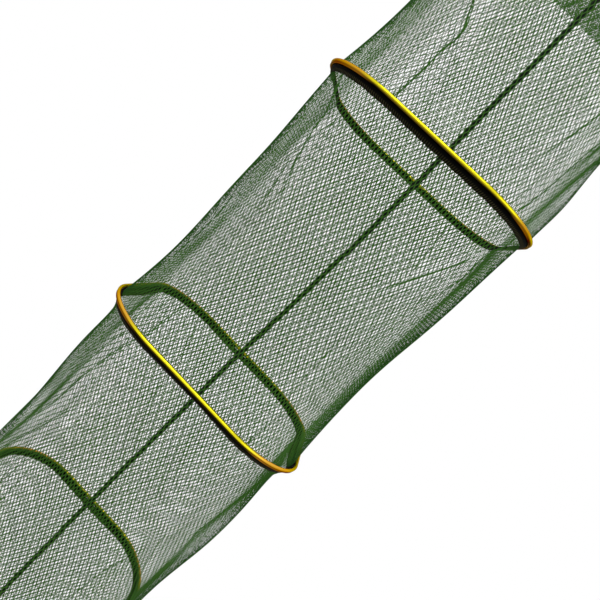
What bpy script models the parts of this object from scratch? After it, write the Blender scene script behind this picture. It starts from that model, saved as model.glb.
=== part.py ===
# A fishing keepnet, hung by the stud of its head block: a long netting tube held open by six
# rounded-square hoops, closed at the foot. Metres, +Z up. The origin is where the stud's axis meets
# the shoulder that seats on a bank stick, and the net's own axis stands beside it, towards +Y.

import math

import bmesh
import bpy
from mathutils import Euler, Matrix, Vector

# Hoops. Widths are taken on the middle line of the bar.
HOOP_WIDTH = 0.344
HOOP_DEPTH = 0.344
HOOP_CORNER = 0.101
HOOP_SPACING = 0.418
BAYS = 5
# How far each hoop leans and tips as the net hangs, mouth first, in degrees about +Y and +X.
HOOP_LEANS = (0.0, -1.7, 1.1, 1.5, 0.5, 0.0)
HOOP_TIPS = (0.0, 0.1, -2.2, 0.1, -0.4, 0.0)
BAR_RADIUS = 0.0024
# The part of the bar's section that is round, in degrees from straight outwards.
BEAD_FROM = -45
BEAD_TO = 180
LIP_DROP = 0.0040
LIP_REACH = 0.0014

# Binding tape under each hoop, sloping inwards as it goes down.
TAPE_HEIGHT = 0.0078
TAPE_INSET = 0.0090
TAPE_THICKNESS = 0.0014

# Netting tube. It keeps clear of the bar below it, and is drawn in between two hoops.
NET_THICKNESS = 0.0012
NET_EASE = 0.0015
NET_WAIST = 0.0087
WAIST_LEAN = 1.7
WAIST_ROUNDING = 0.004
PLEAT_DEPTH = 0.0016
PLEAT_REACH = 0.16
# Its diamond cells, drawn about twenty times their real size: how many round the tube, the rows down
# a bay, the strands' width measured level, and the height of the closed hem at either end.
CELLS_ROUND = 12
CELL_ROWS = 4
STRAND_WIDTH = 0.0160
NET_HEM = 0.0120
COLLAR_HEIGHT = 0.050
COLLAR_THICKNESS = 0.0012
BASE_SAG = 0.010
BASE_RINGS = (1.0, 0.66, 0.33)

# Sewn seam along the side away from the head block.
SEAM_WIDTH = 0.0095
SEAM_THICKNESS = 0.0024

# Head block, clamped on the mouth hoop, and its stud.
BLOCK_WIDTH = 0.042
BLOCK_DEPTH = 0.012
BLOCK_RISE = 0.0160
BLOCK_DROP = 0.0080
CLAMP_DEPTH = 0.0055
BLOCK_ROUND = 0.0020
BOSS_RADIUS = 0.0110
BOSS_REACH = 0.0240
# The web that joins the boss to the block: its width as a share of the boss, and its set-backs.
WEB_SHARE = 0.7
WEB_SETBACK = 0.0030
WEB_DROP = 0.0020
STUD_RADIUS = 0.00476
STUD_LENGTH = 0.0135
STUD_CHAMFER = 0.0009
SHOULDER_RADIUS = 0.0085
SHOULDER_HEIGHT = 0.0030
SPIGOT_RADIUS = 0.0050
SPIGOT_LENGTH = 0.0120
SCREW_RADIUS = 0.0020
SCREW_HEAD_RADIUS = 0.0038
SCREW_HEAD_HEIGHT = 0.0024
SCREW_RIM_SHARE = 0.6
SCREW_DOME_SHARE = 0.7
SCREW_SPREAD = 0.0130
SCREW_RISE = 0.0095

# Clearances.
GAP = 0.0003
SCREW_CLEARANCE = 0.0002

# Steps round a hoop: a count for each quarter turn and for half of each straight side.
CORNER_STEPS = 8
SIDE_STEPS = 2
BAR_STEPS = 6
COLLAR_ROWS = 2
SEAM_ROWS = 12
# Steps round a turned piece, and the angle in degrees past which an edge stays sharp.
STUD_STEPS = 24
BORE_STEPS = 20
SCREW_STEPS = 16
SHARP_EDGE = 40

# Where the hoops stand.
MOUTH_Z = SHOULDER_HEIGHT + BLOCK_DROP
NET_AXIS_Y = BOSS_REACH + HOOP_DEPTH / 2
TAPE_TOP = -LIP_DROP - GAP
TAPE_FOOT = TAPE_TOP - TAPE_HEIGHT

# The netting starts under a tape's foot and ends beside the next bar's inner face.
NET_TOP = TAPE_FOOT - GAP
NET_TOP_INSET = TAPE_INSET
NET_FOOT = -LIP_DROP
NET_FOOT_INSET = BAR_RADIUS + GAP + NET_EASE
NET_HEIGHT = HOOP_SPACING + NET_TOP - NET_FOOT


def hoop_centre(number):
    """The middle of a hoop: 0 is the mouth, BAYS is the foot."""
    return Vector((0.0, NET_AXIS_Y, MOUTH_Z - number * HOOP_SPACING))


def hoop_lean(number):
    """The lean and tip of a hoop as a rotation."""
    lean = HOOP_LEANS[number % len(HOOP_LEANS)]
    tip = HOOP_TIPS[number % len(HOOP_TIPS)]
    return Euler((math.radians(tip), math.radians(lean), 0.0)).to_matrix()


def plain_material(name, colour, roughness, metallic=0.0):
    """A Principled material of one plain colour."""
    made = bpy.data.materials.new(name)
    made.use_nodes = True
    shader = made.node_tree.nodes["Principled BSDF"]
    shader.inputs["Base Color"].default_value = (*colour, 1.0)
    shader.inputs["Roughness"].default_value = roughness
    shader.inputs["Metallic"].default_value = metallic
    made.diffuse_color = (*colour, 1.0)
    return made


def add_object(name, shape, material, location=(0.0, 0.0, 0.0), lean=None):
    """Turns a bmesh into a named object with one material, shaded smooth between sharp edges."""
    bmesh.ops.recalc_face_normals(shape, faces=shape.faces)
    mesh = bpy.data.meshes.new(name)
    shape.to_mesh(mesh)
    shape.free()
    made = bpy.data.objects.new(name, mesh)
    bpy.context.scene.collection.objects.link(made)
    made.location = location
    if lean:
        made.rotation_euler = lean.to_euler()
    mesh.materials.append(material)
    mesh.shade_smooth()
    mesh.set_sharp_from_angle(angle=math.radians(SHARP_EDGE))
    return made


def outline(inset, rounding=0.0):
    """The hoop's rounded square, moved in by inset: points from the middle of the +X side on.

    rounding grows the corner arcs, as netting does between two hoops.
    """
    half_x = HOOP_WIDTH / 2 - inset
    half_y = HOOP_DEPTH / 2 - inset
    corner = min(HOOP_CORNER - inset + rounding, half_x, half_y)
    points = []
    for turn in range(4):
        across, along = (half_x, half_y) if turn % 2 == 0 else (half_y, half_x)
        quarter = Matrix.Rotation(turn * math.pi / 2, 2)
        run = along - corner
        side = [Vector((across, run * step / SIDE_STEPS)) for step in range(SIDE_STEPS)]
        for step in range(CORNER_STEPS + 1):
            angle = step / CORNER_STEPS * math.pi / 2
            side.append(
                Vector((across - corner + corner * math.cos(angle), run + corner * math.sin(angle)))
            )
        top = across - corner
        side += [Vector((top * (1 - step / SIDE_STEPS), along)) for step in range(1, SIDE_STEPS)]
        points += [quarter @ point for point in side]
    return points


def sweep_round(profile):
    """A closed bar round the outline: profile holds (inset, height) pairs round the bar's section."""
    shape = bmesh.new()
    rings = [
        [shape.verts.new((point.x, point.y, height)) for point in outline(inset)]
        for inset, height in profile
    ]
    bridge(shape, rings + [rings[0]])
    return shape


def bridge(shape, rings):
    """Quads between each ring of corners and the next."""
    for low, high in zip(rings, rings[1:]):
        count = len(low)
        for here in range(count):
            after = (here + 1) % count
            shape.faces.new((low[here], low[after], high[after], high[here]))


def bar_profile(grow=0.0):
    """The hoop's section: a round bead with a thin lip under it. grow widens it for a cutter."""
    points = []
    for step in range(BAR_STEPS + 1):
        angle = math.radians(BEAD_FROM + step / BAR_STEPS * (BEAD_TO - BEAD_FROM))
        points.append(
            (-(BAR_RADIUS + grow) * math.cos(angle), (BAR_RADIUS + grow) * math.sin(angle))
        )
    points.append((BAR_RADIUS + grow, -LIP_DROP - grow))
    points.append((-LIP_REACH - grow, -LIP_DROP - grow))
    return points


def tape_profile():
    """The tape's section: a strip leaning inwards towards its foot."""
    return [
        (GAP, TAPE_TOP),
        (TAPE_INSET, TAPE_FOOT),
        (TAPE_INSET + TAPE_THICKNESS, TAPE_FOOT),
        (GAP + TAPE_THICKNESS, TAPE_TOP),
    ]


def net_row(share):
    """Inset, extra corner rounding and height of the netting, share of the way down a bay."""
    drawn = math.sin(math.pi * share**WAIST_LEAN)
    inset = NET_TOP_INSET + (NET_FOOT_INSET - NET_TOP_INSET) * share + NET_WAIST * drawn
    return inset, WAIST_ROUNDING * drawn, NET_TOP - NET_HEIGHT * share


def pleated(inset, rounding, share):
    """The outline with gathers at its corners: every other point dips where a hoop holds the netting."""
    hold = max(0.0, 1 - share / PLEAT_REACH) + max(0.0, 1 - (1 - share) / PLEAT_REACH)
    flat = outline(inset, rounding)
    dipped = outline(inset + PLEAT_DEPTH * hold, rounding)
    turn = len(flat) // 4
    points = []
    for index, (outer, inner) in enumerate(zip(flat, dipped)):
        place = index % turn - SIDE_STEPS
        in_corner = 0 < place < CORNER_STEPS
        points.append(inner if in_corner and place % 2 else outer)
    return points


def hung(bay, share, point, height):
    """Where a point of netting hangs: it leans with the hoop above, then with the one below."""
    above = hoop_lean(bay) @ Vector((point.x, point.y, NET_TOP))
    above.z += height - NET_TOP
    below = hoop_lean(bay + 1) @ Vector((point.x, point.y, NET_FOOT))
    below.z += height - NET_FOOT
    return above.lerp(below, share)


def skin_ring(share, outwards=0.0):
    """The netting's outer skin at one level of a bay: its points, gathered at the corners."""
    inset, rounding, _ = net_row(share)
    return pleated(inset - outwards, rounding, share)


def thicken(skin, thickness):
    """Gives a skin its thickness, inwards from the side that its faces point to."""
    solid = skin.modifiers.new("thickness", "SOLIDIFY")
    solid.thickness = thickness
    solid.offset = -1.0


def hung_vertex(shape, bay, share, point):
    """A corner of netting at its place in a bay."""
    return shape.verts.new(hung(bay, share, point, net_row(share)[2]))


def collar_skin():
    """The mouth collar: a plain tube that lies on the outside of the first bay's netting."""
    shape = bmesh.new()
    rings = []
    for row in range(COLLAR_ROWS + 1):
        share = row / COLLAR_ROWS * COLLAR_HEIGHT / NET_HEIGHT
        ring = skin_ring(share, COLLAR_THICKNESS + GAP)
        rings.append([hung_vertex(shape, 0, share, point) for point in ring])
    bridge(shape, rings[::-1])
    return shape


def beside(ring, place, shift):
    """The point a distance along a closed ring from one of its own points."""
    here = ring[place % len(ring)]
    after = ring[(place + (1 if shift > 0 else -1)) % len(ring)]
    return here.lerp(after, abs(shift) / (after - here).length)


def net_skin(bay):
    """One bay of netting: strands that cross in diamonds between a hem at the top and one at the foot.

    A crossing is a small diamond whose sides each start a strand, and the crossings of every second
    row stand half a cell further round.
    """
    shape = bmesh.new()
    row_height = (NET_HEIGHT - 2 * NET_HEM) / CELL_ROWS
    cell_width = 2 * (HOOP_WIDTH + HOOP_DEPTH) / CELLS_ROUND
    half_width = STRAND_WIDTH / 2
    half_height = half_width * row_height / (cell_width / 2)
    crossings = []
    for row in range(CELL_ROWS + 1):
        level = NET_HEM + row * row_height
        share, share_over, share_under = (
            height / NET_HEIGHT for height in (level, level - half_height, level + half_height)
        )
        ring = skin_ring(share)
        crossings.append([])
        for place in crossing_places(row, len(ring)):
            left = hung_vertex(shape, bay, share, beside(ring, place, -half_width))
            right = hung_vertex(shape, bay, share, beside(ring, place, half_width))
            over = under = None
            if row > 0:
                over = hung_vertex(shape, bay, share_over, skin_ring(share_over)[place])
            if row < CELL_ROWS:
                under = hung_vertex(shape, bay, share_under, skin_ring(share_under)[place])
            shape.faces.new([corner for corner in (left, under, right, over) if corner])
            crossings[row].append((left, right, over, under))
    for row in range(CELL_ROWS):
        for cell in range(CELLS_ROUND):
            left, right, _, under = crossings[row][cell]
            shift = row % 2
            low_left, _, low_over, _ = crossings[row + 1][(cell + shift) % CELLS_ROUND]
            shape.faces.new((right, under, low_left, low_over))
            _, low_right, low_over, _ = crossings[row + 1][cell + shift - 1]
            shape.faces.new((under, left, low_over, low_right))
    hem(shape, bay, crossings[0], 0, 0.0, NET_HEM / NET_HEIGHT)
    hem(shape, bay, crossings[-1], CELL_ROWS, 1.0, 1.0 - NET_HEM / NET_HEIGHT)
    return shape


def crossing_places(row, points_round):
    """Where a row's crossings stand, counted in the outline's points."""
    cell_steps = points_round // CELLS_ROUND
    return [cell * cell_steps + row % 2 * cell_steps // 2 for cell in range(CELLS_ROUND)]


def hem(shape, bay, crossings, row, end_share, edge_share):
    """The closed band between an end of the netting and the row of half crossings beside it."""
    end = [hung_vertex(shape, bay, end_share, point) for point in skin_ring(end_share)]
    edge = skin_ring(edge_share)
    count = len(end)
    places = crossing_places(row, count)
    for cell, place in enumerate(places):
        left, right, _, _ = crossings[cell]
        next_left = crossings[(cell + 1) % CELLS_ROUND][0]
        between = range(place + 1, place + count // CELLS_ROUND)
        path = [hung_vertex(shape, bay, edge_share, edge[step % count]) for step in between]
        path = [right, *path, next_left]
        shape.faces.new((end[place], left, right))
        for step, (here, after) in enumerate(zip(path, path[1:])):
            first = end[(place + step) % count]
            second = end[(place + step + 1) % count]
            shape.faces.new((first, here, after, second))


def seam_strip(bay):
    """The felled seam of one bay: a strip that follows the netting's inner face at the +Y side."""
    shape = bmesh.new()
    sections = []
    for row in range(SEAM_ROWS + 1):
        share = row / SEAM_ROWS
        inset, _, height = net_row(share)
        outer = HOOP_DEPTH / 2 - inset - NET_THICKNESS - GAP
        corners = ((-0.5, 0.0), (0.5, 0.0), (0.5, 1.0), (-0.5, 1.0))
        section = [
            Vector((across * SEAM_WIDTH, outer - deep * SEAM_THICKNESS)) for across, deep in corners
        ]
        sections.append([shape.verts.new(hung(bay, share, point, height)) for point in section])
    bridge(shape, sections)
    shape.faces.new(sections[0])
    shape.faces.new(sections[-1])
    return shape


def base_panel():
    """The netting that closes the foot: a shallow dish, sewn in under the last tape."""
    shape = bmesh.new()
    skins = []
    for lift in (0.0, NET_THICKNESS):
        rings = []
        for share in BASE_RINGS:
            level = NET_TOP - NET_THICKNESS - BASE_SAG * (1 - share**2) + lift
            rings.append(
                [
                    shape.verts.new((point.x * share, point.y * share, level))
                    for point in outline(TAPE_INSET)
                ]
            )
        skins.append(rings)
    low, high = skins
    bridge(shape, low[::-1] + high)
    shape.faces.new(low[-1])
    shape.faces.new(high[-1])
    return shape


def box_shape(low, high):
    """A plain box between two corners."""
    shape = bmesh.new()
    bmesh.ops.create_cube(shape, size=1.0)
    centre = [(a + b) / 2 for a, b in zip(low, high)]
    size = [b - a for a, b in zip(low, high)]
    bmesh.ops.scale(shape, vec=size, verts=shape.verts)
    bmesh.ops.translate(shape, vec=centre, verts=shape.verts)
    return shape


def turned_shape(profile, steps, axis="Z"):
    """A turned solid: profile holds (radius, height) pairs from one end of the axis to the other."""
    shape = bmesh.new()
    rings = []
    for radius, height in profile:
        ring = []
        for step in range(steps):
            angle = (step + 0.5) / steps * 2 * math.pi
            ring.append(shape.verts.new((radius * math.cos(angle), radius * math.sin(angle), height)))
        rings.append(ring)
    bridge(shape, rings)
    shape.faces.new(rings[0])
    shape.faces.new(rings[-1])
    if axis == "Y":
        shape.transform(Matrix.Rotation(math.pi / 2, 4, "X"))
    return shape


def cut(target, shape, name):
    """Cuts a shape out of an object, keeping the cutter as a hidden helper."""
    cutter = add_object(name, shape, target.data.materials[0])
    cutter.hide_render = True
    cutter.display_type = "WIRE"
    modifier = target.modifiers.new(name, "BOOLEAN")
    modifier.operation = "DIFFERENCE"
    modifier.object = cutter


def join(target, shape, name):
    """Joins a shape to an object by a Boolean, keeping it as a hidden helper."""
    added = add_object(name, shape, target.data.materials[0])
    added.hide_render = True
    added.display_type = "WIRE"
    modifier = target.modifiers.new(name, "BOOLEAN")
    modifier.operation = "UNION"
    modifier.object = added


def bar_groove():
    """The straight stretch of the mouth hoop that the head block grips, a clearance larger all round."""
    shape = bmesh.new()
    ends = []
    for side in (-BLOCK_WIDTH, BLOCK_WIDTH):
        ends.append(
            [
                shape.verts.new((side, BOSS_REACH + inset, MOUTH_Z + height))
                for inset, height in bar_profile(GAP)
            ]
        )
    bridge(shape, ends)
    shape.faces.new(ends[0])
    shape.faces.new(ends[1])
    return shape


def screw_places():
    """Name, X and Z of the two clamp screws."""
    height = MOUTH_Z + SCREW_RISE
    return (("left", -SCREW_SPREAD, height), ("right", SCREW_SPREAD, height))


def build_hoops(gold, black):
    """The six hoops with their tapes."""
    for number in range(BAYS + 1):
        name = "mouth" if number == 0 else f"ring_{number}"
        place = hoop_centre(number)
        lean = hoop_lean(number)
        add_object(f"{name}_hoop", sweep_round(bar_profile()), gold, place, lean)
        add_object(f"{name}_tape", sweep_round(tape_profile()), black, place, lean)


def build_netting(green, dark_green):
    """The five bays of netting with their seams, the mouth collar and the base panel."""
    for bay in range(BAYS):
        net = add_object(f"net_{bay + 1}", net_skin(bay), green, hoop_centre(bay))
        thicken(net, NET_THICKNESS)
        add_object(f"seam_{bay + 1}", seam_strip(bay), dark_green, hoop_centre(bay))
    collar = add_object("mouth_collar", collar_skin(), green, hoop_centre(0))
    thicken(collar, COLLAR_THICKNESS)
    add_object("base_net", base_panel(), green, hoop_centre(BAYS), hoop_lean(BAYS))


def build_head(black, brass, steel):
    """The head block: outer half with the stud's boss, inner clamp half, two screws and the stud."""
    low_z = MOUTH_Z - BLOCK_DROP
    high_z = MOUTH_Z + BLOCK_RISE
    hoop_face = BOSS_REACH - GAP / 2
    outer_face = hoop_face - BLOCK_DEPTH
    clamp_face = BOSS_REACH + GAP / 2
    block = add_object(
        "head_block",
        box_shape(
            (-BLOCK_WIDTH / 2, outer_face, low_z), (BLOCK_WIDTH / 2, hoop_face, high_z)
        ),
        black,
    )
    rounded = block.modifiers.new("edges", "BEVEL")
    rounded.width = BLOCK_ROUND
    rounded.segments = 2
    boss_height = high_z - BLOCK_ROUND
    join(
        block,
        turned_shape(
            [
                (BOSS_RADIUS - BLOCK_ROUND / 2, low_z),
                (BOSS_RADIUS, low_z + BLOCK_ROUND / 2),
                (BOSS_RADIUS, boss_height - BLOCK_ROUND),
                (BOSS_RADIUS - BLOCK_ROUND, boss_height),
            ],
            STUD_STEPS,
        ),
        "boss",
    )
    web_side = BOSS_RADIUS * WEB_SHARE
    web = box_shape(
        (-web_side, 0.0, low_z + BLOCK_ROUND),
        (web_side, hoop_face - WEB_SETBACK, boss_height - WEB_DROP),
    )
    join(block, web, "boss_web")
    cut(block, bar_groove(), "block_groove")
    bore = [(SPIGOT_RADIUS + GAP, 0.0), (SPIGOT_RADIUS + GAP, low_z + SPIGOT_LENGTH + GAP)]
    cut(block, turned_shape(bore, BORE_STEPS), "stud_bore")

    clamp = add_object(
        "head_clamp",
        box_shape(
            (-BLOCK_WIDTH / 2, clamp_face, MOUTH_Z - LIP_DROP + GAP),
            (BLOCK_WIDTH / 2, clamp_face + CLAMP_DEPTH, high_z),
        ),
        black,
    )
    cut(clamp, bar_groove(), "clamp_groove")
    seat = -outer_face + GAP
    for side, across, height in screw_places():
        for half in (block, clamp):
            bore = SCREW_RADIUS + SCREW_CLEARANCE
            hole = turned_shape([(bore, -2 * BOSS_REACH), (bore, 0.0)], SCREW_STEPS, "Y")
            hole.transform(Matrix.Translation((across, 0.0, height)))
            cut(half, hole, f"{half.name}_hole_{side}")
        screw = turned_shape(
            [
                (SCREW_RADIUS, -clamp_face - CLAMP_DEPTH),
                (SCREW_RADIUS, seat),
                (SCREW_HEAD_RADIUS, seat),
                (SCREW_HEAD_RADIUS, seat + SCREW_HEAD_HEIGHT * SCREW_RIM_SHARE),
                (SCREW_HEAD_RADIUS * SCREW_DOME_SHARE, seat + SCREW_HEAD_HEIGHT),
            ],
            SCREW_STEPS,
            "Y",
        )
        add_object(f"head_screw_{side}", screw, steel, (across, 0.0, height))

    add_object(
        "head_stud",
        turned_shape(
            [
                (STUD_RADIUS - STUD_CHAMFER, -STUD_LENGTH),
                (STUD_RADIUS, -STUD_LENGTH + STUD_CHAMFER),
                (STUD_RADIUS, 0.0),
                (SHOULDER_RADIUS, 0.0),
                (SHOULDER_RADIUS, SHOULDER_HEIGHT - GAP),
                (SPIGOT_RADIUS, SHOULDER_HEIGHT - GAP),
                (SPIGOT_RADIUS, SHOULDER_HEIGHT + SPIGOT_LENGTH),
            ],
            STUD_STEPS,
        ),
        brass,
    )


def build():
    """Clears the scene and makes every piece."""
    for old in list(bpy.data.objects):
        bpy.data.objects.remove(old, do_unlink=True)
    gold = plain_material("gold anodised aluminium", (0.78, 0.52, 0.03), 0.28, 1.0)
    tape_black = plain_material("black ribbed tape", (0.020, 0.019, 0.017), 0.75)
    moulded_black = plain_material("moulded black nylon", (0.030, 0.030, 0.032), 0.5)
    net_green = plain_material("green netting", (0.045, 0.115, 0.035), 0.65)
    seam_green = plain_material("dark green seam", (0.014, 0.040, 0.012), 0.75)
    brass = plain_material("turned brass", (0.72, 0.50, 0.20), 0.3, 1.0)
    steel = plain_material("stainless steel", (0.62, 0.62, 0.61), 0.3, 1.0)
    build_hoops(gold, tape_black)
    build_netting(net_green, seam_green)
    build_head(moulded_black, brass, steel)


build()
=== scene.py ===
import math

import bmesh
import bpy
import numpy as np
from mathutils import Euler, Matrix, Vector


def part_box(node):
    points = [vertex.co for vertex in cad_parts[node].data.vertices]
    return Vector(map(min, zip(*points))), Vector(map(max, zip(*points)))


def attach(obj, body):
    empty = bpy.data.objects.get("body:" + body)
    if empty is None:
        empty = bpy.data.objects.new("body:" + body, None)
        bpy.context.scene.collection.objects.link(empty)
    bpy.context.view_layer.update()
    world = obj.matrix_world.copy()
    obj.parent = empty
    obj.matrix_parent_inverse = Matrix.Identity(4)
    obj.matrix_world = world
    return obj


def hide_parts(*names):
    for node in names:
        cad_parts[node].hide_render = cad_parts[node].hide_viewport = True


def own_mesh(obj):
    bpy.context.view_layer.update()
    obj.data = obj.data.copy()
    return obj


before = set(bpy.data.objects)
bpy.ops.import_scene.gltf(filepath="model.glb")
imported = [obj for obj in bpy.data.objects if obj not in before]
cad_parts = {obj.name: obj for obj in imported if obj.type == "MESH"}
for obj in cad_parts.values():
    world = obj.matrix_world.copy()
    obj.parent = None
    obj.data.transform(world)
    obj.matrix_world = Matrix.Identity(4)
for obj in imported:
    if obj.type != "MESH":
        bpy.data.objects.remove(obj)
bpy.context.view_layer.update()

# Hoops. Six rounded squares bent from gold anodised aluminium section and welded shut, so no
# joint shows. The section is a round bead with a groove under it and a thin lip below the
# groove, where the binding tape is caught. Every hoop leans and tips a little as the net hangs.
HOOP_HALF = 0.172
HOOP_CORNER = 0.101
HOOP_PITCH = 0.418
HOOP_LEANS = (0.0, -1.7, 1.1, 1.5, 0.5, 0.0)
HOOP_TIPS = (0.0, 0.1, -2.2, 0.1, -0.4, 0.0)
HOOP_NAMES = ("mouth", "ring_1", "ring_2", "ring_3", "ring_4", "ring_5")
MOUTH_HEIGHT = 0.011
NET_AXIS_Y = 0.196
HOOP_TURNS = 288
BEAD_RADIUS = 0.0024
BEAD_POINTS = 16
GROOVE_ANGLE = -42
LIP_DROP = 0.0040
LIP_REACH = 0.0014
LIP_EDGE = 0.0003
LIP_THICKNESS = 0.0009
# How far along each corner the gold carries a painted orange reflection, in quarters of the way
# round, by hoop and corner, and over how much of a quarter that painted reflection fades.
BEND_REACH = 0.17
BEND_REACHES = {("ring_1", 3): 0.11}
BEND_FADE = 0.08


def rounded_square(half, corner, turn):
    """Points and outward directions on a rounded square, turn of the way round from +X."""
    half, corner, turn = np.broadcast_arrays(half, corner, turn)
    quarters = (turn % 1.0) * 4
    side = np.floor(quarters)
    run = half - corner
    arc = corner * math.pi / 2
    along = (quarters - side) * (2 * run + arc)
    angle = np.clip((along - run) / corner, 0, math.pi / 2)
    x = np.where(along > run + arc, 2 * run + arc - along, run + corner * np.cos(angle))
    y = np.where(along < run, along, run + corner * np.sin(angle))
    facing = side * math.pi / 2
    turned_x = x * np.cos(facing) - y * np.sin(facing)
    turned_y = x * np.sin(facing) + y * np.cos(facing)
    outward = np.stack([np.cos(facing + angle), np.sin(facing + angle)], -1)
    return np.stack([turned_x, turned_y], -1), outward


def on_hoop(number, points):
    """Points given about a hoop's own middle, taken to where that hoop hangs."""
    hang = Euler((math.radians(HOOP_TIPS[number]), math.radians(HOOP_LEANS[number]), 0)).to_matrix()
    middle = [0, NET_AXIS_Y, MOUTH_HEIGHT - number * HOOP_PITCH]
    return np.asarray(points, float) @ np.array(hang).T + middle


def carried_round(section, turns):
    """A section of (inset, height) pairs, or one for each turn, carried round a hoop's outline."""
    sections = np.broadcast_to(section, (len(turns), *np.shape(section)[-2:]))
    inset, height = np.moveaxis(sections, -1, 0)
    points, _ = rounded_square(HOOP_HALF - inset, HOOP_CORNER - inset, turns[:, None])
    return np.concatenate([points, height[..., None]], -1)


def grid_faces(rows, columns, close_rows=True):
    """Quads over a grid of points, whose columns close into a ring, and whose rows may too."""
    row = np.arange(rows if close_rows else rows - 1)[:, None]
    column = np.arange(columns)[None, :]
    next_row, next_column = (row + 1) % rows, (column + 1) % columns
    corners = [row * columns + column, next_row * columns + column]
    corners += [next_row * columns + next_column, row * columns + next_column]
    return np.stack(corners, -1).reshape(-1, 4)


def solid_piece(name, points, faces, finish, body):
    """A piece made from points and faces, its faces turned outwards, that rides on a body."""
    points = np.asarray(points, float).reshape(-1, 3)
    middle = points - points.mean(0)
    a, b, c, d = (middle[faces[:, k]] for k in range(4))
    volume = np.einsum("ij,ij->i", a, np.cross(b, c) + np.cross(c, d)).sum()
    if volume < 0:
        faces = faces[:, ::-1]
    mesh = bpy.data.meshes.new(name)
    mesh.from_pydata(points.tolist(), [], faces.tolist())
    mesh.materials.append(finish)
    mesh.shade_smooth()
    piece = bpy.data.objects.new(name, mesh)
    bpy.context.scene.collection.objects.link(piece)
    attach(piece, body)
    return piece


def per_point(piece, name, values):
    """Keeps a number for each point of a piece, for its finish to read."""
    kept = piece.data.attributes.new(name, "FLOAT", "POINT")
    kept.data.foreach_set("value", np.asarray(values, np.float32).ravel())


class Finish:
    """A material and its nodes, with short ways to add and join them."""

    def __init__(self, name, **shader):
        self.material = bpy.data.materials.new(name)
        self.material.use_nodes = True
        self.nodes = self.material.node_tree.nodes
        self.shader = self.nodes["Principled BSDF"]
        for socket, value in shader.items():
            self.shader.inputs[socket.replace("_", " ")].default_value = value

    def node(self, kind, settings=None, **inputs):
        """A node whose inputs go by name, or by number as i0, i1 and so on."""
        made = self.nodes.new("ShaderNode" + kind)
        for name, value in (settings or {}).items():
            setattr(made, name, value)
        for name, value in inputs.items():
            socket = made.inputs[int(name[1:]) if name[1:].isdigit() else name.replace("_", " ")]
            if isinstance(value, bpy.types.NodeSocket):
                self.material.node_tree.links.new(value, socket)
            else:
                socket.default_value = value
        return made

    def join(self, output, socket):
        self.material.node_tree.links.new(output, self.shader.inputs[socket])

    def place(self, stretch=(1, 1, 1)):
        """Where a point is on the object at rest, stretched."""
        where = self.node("TexCoord").outputs["Object"]
        return self.node("Mapping", Vector=where, Scale=stretch).outputs["Vector"]

    def noise(self, size, detail=2.0, stretch=(1, 1, 1), rough=0.5):
        """Uneven patches of about the given size, in metres."""
        where = self.place(stretch)
        made = self.node("TexNoise", Vector=where, Scale=1 / size, Detail=detail, Roughness=rough)
        return made.outputs["Fac"]

    def ramp(self, value, *stops):
        """A colour for a value: stops are (position, colour) pairs."""
        made = self.node("ValToRGB", Fac=value)
        points = made.color_ramp.elements
        while len(points) < len(stops):
            points.new(0.5)
        for point, (position, colour) in zip(points, stops):
            point.position = position
            point.color = (*colour, 1.0)
        return made.outputs["Color"]

    def between(self, value, low, high, start=0.0, end=1.0):
        """A value that goes from low to high while the given one goes from start to end."""
        made = self.node("MapRange", i0=value, i1=start, i2=end, i3=low, i4=high)
        return made.outputs["Result"]

    def mixed(self, share, one, other, blend="MIX"):
        """One colour with a share of another laid over it."""
        made = self.node("Mix", {"data_type": "RGBA", "blend_type": blend}, i0=share, i6=one, i7=other)
        return made.outputs[2]

    def number(self, name):
        """A number that a piece keeps for each of its points."""
        return self.node("Attribute", {"attribute_name": name}).outputs["Fac"]

    def bumped(self, height, distance):
        """Fine relief, as deep as the distance in metres."""
        made = self.node("Bump", Height=height, Distance=distance, Strength=1.0)
        self.join(made.outputs["Normal"], "Normal")


# The anodised gold is yellow on the bead and dulled in patches by handling. The groove and the
# lower half of the bead are painted dark, as painted shade and a painted reflection of the dark
# tape below, and the bends carry a painted orange reflection.
gold = Finish("gold anodised aluminium", Metallic=1.0, Specular_Tint=(0.45, 0.32, 0.10, 1.0))
# Up the section the gold goes from painted shade in the groove and under the bead to yellow on top.
bead_tint_with_painted_shade = gold.ramp(
    gold.number("round"),
    (0.08, (0.005, 0.003, 0.001)),
    (0.22, (0.030, 0.017, 0.002)),
    (0.32, (0.20, 0.15, 0.004)),
    (0.50, (0.66, 0.57, 0.010)),
    (0.72, (0.76, 0.69, 0.016)),
    (1.0, (0.58, 0.50, 0.018)),
)
# A painted orange reflection for the bends, itself painted dark lower down as painted shade.
painted_orange_reflection = gold.ramp(
    gold.number("round"),
    (0.0, (0.30, 0.12, 0.012)),
    (0.30, (0.20, 0.08, 0.008)),
    (0.42, (0.34, 0.15, 0.012)),
    (0.60, (0.60, 0.29, 0.022)),
    (1.0, (0.84, 0.44, 0.080)),
)
painted_reflection_share = gold.between(gold.number("bend"), low=0.0, high=0.9)
tint_with_painted_reflection = gold.mixed(painted_reflection_share, bead_tint_with_painted_shade, painted_orange_reflection)
worn = gold.between(gold.noise(0.012, detail=3.0), low=0.0, high=0.30, start=0.55, end=0.75)
gold.join(gold.mixed(worn, tint_with_painted_reflection, (0.93, 0.80, 0.08, 1.0), "MULTIPLY"), "Base Color")
gold.join(gold.between(gold.noise(0.0016, detail=3.0), low=0.16, high=0.30), "Roughness")
gold.bumped(gold.noise(0.0007), distance=0.00003)

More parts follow.
